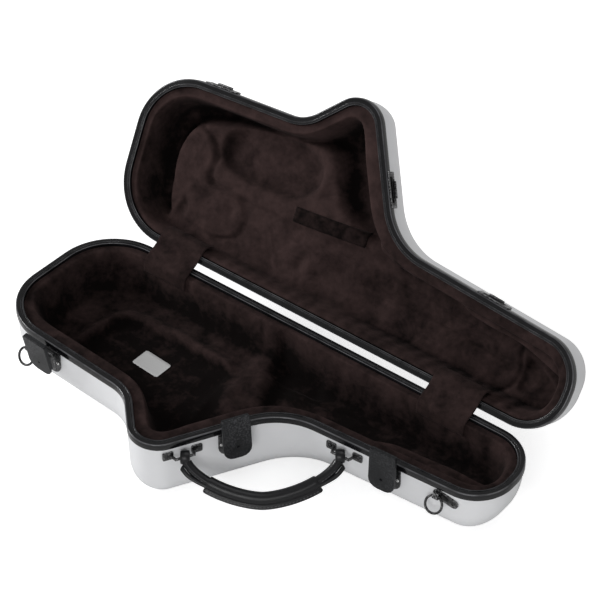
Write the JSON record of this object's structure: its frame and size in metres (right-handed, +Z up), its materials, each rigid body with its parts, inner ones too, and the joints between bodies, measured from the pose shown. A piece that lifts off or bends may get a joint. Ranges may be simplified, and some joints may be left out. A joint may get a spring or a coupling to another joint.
{
  "type": "alto saxophone case",
  "caption": "Hard shaped case for an alto saxophone, standing open: hinged plush-lined halves in metal rims, draw latches, a leather handle and rings for a strap.",
  "frame": {"origin": "on the floor under the base shell's flat underside, 268.8 mm from the left end of the rim and 90.4 mm in front of its back edge", "axes": "+X along the hinge line towards the narrow end, +Y from the handle side towards the hinges, +Z up"},
  "size_m": [0.6413, 0.4712, 0.2958],
  "materials": {
    "shell": "satin",
    "rim": "satin",
    "plush": "matte",
    "label": "satin",
    "hardware": "satin",
    "latch_cover": "matte",
    "bright_steel": "polished",
    "leather": "satin"
  },
  "bodies": {
    "base": {"base_shell": "shell", "base_rim": "rim", "base_lining": "plush", "bell_saddle": "plush", "body_block": "plush", "label_plate": "label", "hinge_1_base_leaf": "hardware", "hinge_1_pin": "bright_steel", "hinge_2_base_leaf": "hardware", "hinge_2_pin": "bright_steel", "hinge_flap_1": "plush", "hinge_flap_2": "plush", "latch_1_plate": "hardware", "latch_1_rivet_left": "bright_steel", "latch_1_rivet_right": "bright_steel", "latch_2_plate": "hardware", "latch_2_rivet_left": "bright_steel", "latch_2_rivet_right": "bright_steel", "latch_3_plate": "hardware", "latch_3_rivet_left": "bright_steel", "latch_3_rivet_right": "bright_steel", "handle_staple_left": "hardware", "handle_staple_right": "hardware", "handle_screw_left_a": "hardware", "handle_screw_left_b": "hardware", "handle_screw_right_a": "hardware", "handle_screw_right_b": "hardware", "strap_ring_1_plate": "hardware", "strap_ring_1_screw": "hardware", "strap_ring_2_plate": "hardware", "strap_ring_2_screw": "hardware"},
    "lid": {"lid_shell": "shell", "lid_rim": "rim", "lid_lining": "plush", "lid_bell_pad": "plush", "lid_strap": "plush", "lid_neck_cheek": "plush", "hinge_1_lid_leaf": "hardware", "hinge_2_lid_leaf": "hardware", "catch_1": "hardware", "catch_2": "hardware", "catch_3": "hardware"},
    "handle": {"handle": "leather", "handle_grip": "leather"},
    "ring_1": {"strap_ring_1": "hardware"},
    "ring_2": {"strap_ring_2": "hardware"},
    "link_1": {"latch_1_link": "hardware", "latch_1_link_pin": "bright_steel", "latch_1_cover_pin": "bright_steel"},
    "cover_1": {"latch_1_cover": "latch_cover"},
    "link_2": {"latch_2_link": "hardware", "latch_2_link_pin": "bright_steel", "latch_2_cover_pin": "bright_steel"},
    "cover_2": {"latch_2_cover": "latch_cover"},
    "link_3": {"latch_3_link": "hardware", "latch_3_link_pin": "bright_steel", "latch_3_cover_pin": "bright_steel"},
    "cover_3": {"latch_3_cover": "latch_cover"}
  },
  "joints": [
    {"name": "lid_hinge", "type": "hinge", "parent": "base", "child": "lid", "pos_m": [0, 0.09419, 0.08815], "axis": [1, 0, 0], "range_deg": [0, 128], "deforming": ["hinge_flap_1", "hinge_flap_2"]},
    {"name": "latch_1_link_swing", "type": "hinge", "parent": "base", "child": "link_1", "pos_m": [-0.18435, -0.11005, 0.073], "axis": [-0.9963, 0.0863, 0], "range_deg": [-35, 40]},
    {"name": "latch_1_cover_swing", "type": "hinge", "parent": "link_1", "child": "cover_1", "pos_m": [-0.185, -0.11748, 0.06235], "axis": [-0.9963, 0.0863, 0], "range_deg": [-53.82, 47.1]},
    {"name": "latch_2_link_swing", "type": "hinge", "parent": "base", "child": "link_2", "pos_m": [0.06972, -0.09001, 0.073], "axis": [-0.5177, -0.8556, 0], "range_deg": [-45, 30]},
    {"name": "latch_2_cover_swing", "type": "hinge", "parent": "link_2", "child": "cover_2", "pos_m": [0.07759, -0.09477, 0.06381], "axis": [-0.5177, -0.8556, 0], "range_deg": [-25.42, 38.08]},
    {"name": "latch_3_link_swing", "type": "hinge", "parent": "base", "child": "link_3", "pos_m": [0.2388, -0.03011, 0.073], "axis": [-0.9983, -0.0583, 0], "range_deg": [-25, 50]},
    {"name": "latch_3_cover_swing", "type": "hinge", "parent": "link_3", "child": "cover_3", "pos_m": [0.23912, -0.0356, 0.06122], "axis": [-0.9983, -0.0583, 0], "range_deg": [-44.1, 22.1]},
    {"name": "handle_swing", "type": "hinge", "parent": "base", "child": "handle", "pos_m": [0.11192, -0.09134, 0.068], "axis": [-0.7946, -0.6071, 0], "range_deg": [0, 115]},
    {"name": "strap_ring_1_swing", "type": "hinge", "parent": "base", "child": "ring_1", "pos_m": [-0.214, -0.10738, 0.061], "axis": [-0.9963, 0.0863, 0], "range_deg": [-22, 110]},
    {"name": "strap_ring_2_swing", "type": "hinge", "parent": "base", "child": "ring_2", "pos_m": [0.30507, -0.02614, 0.0705], "axis": [-0.9983, -0.0583, 0], "range_deg": [-22, 110]}
  ],
  "couplings": [
    {"joint": "latch_1_cover_swing", "follows": "latch_1_link_swing", "ratio": -1.343},
    {"joint": "latch_2_cover_swing", "follows": "latch_2_link_swing", "ratio": -0.844},
    {"joint": "latch_3_cover_swing", "follows": "latch_3_link_swing", "ratio": -0.88}
  ]
}
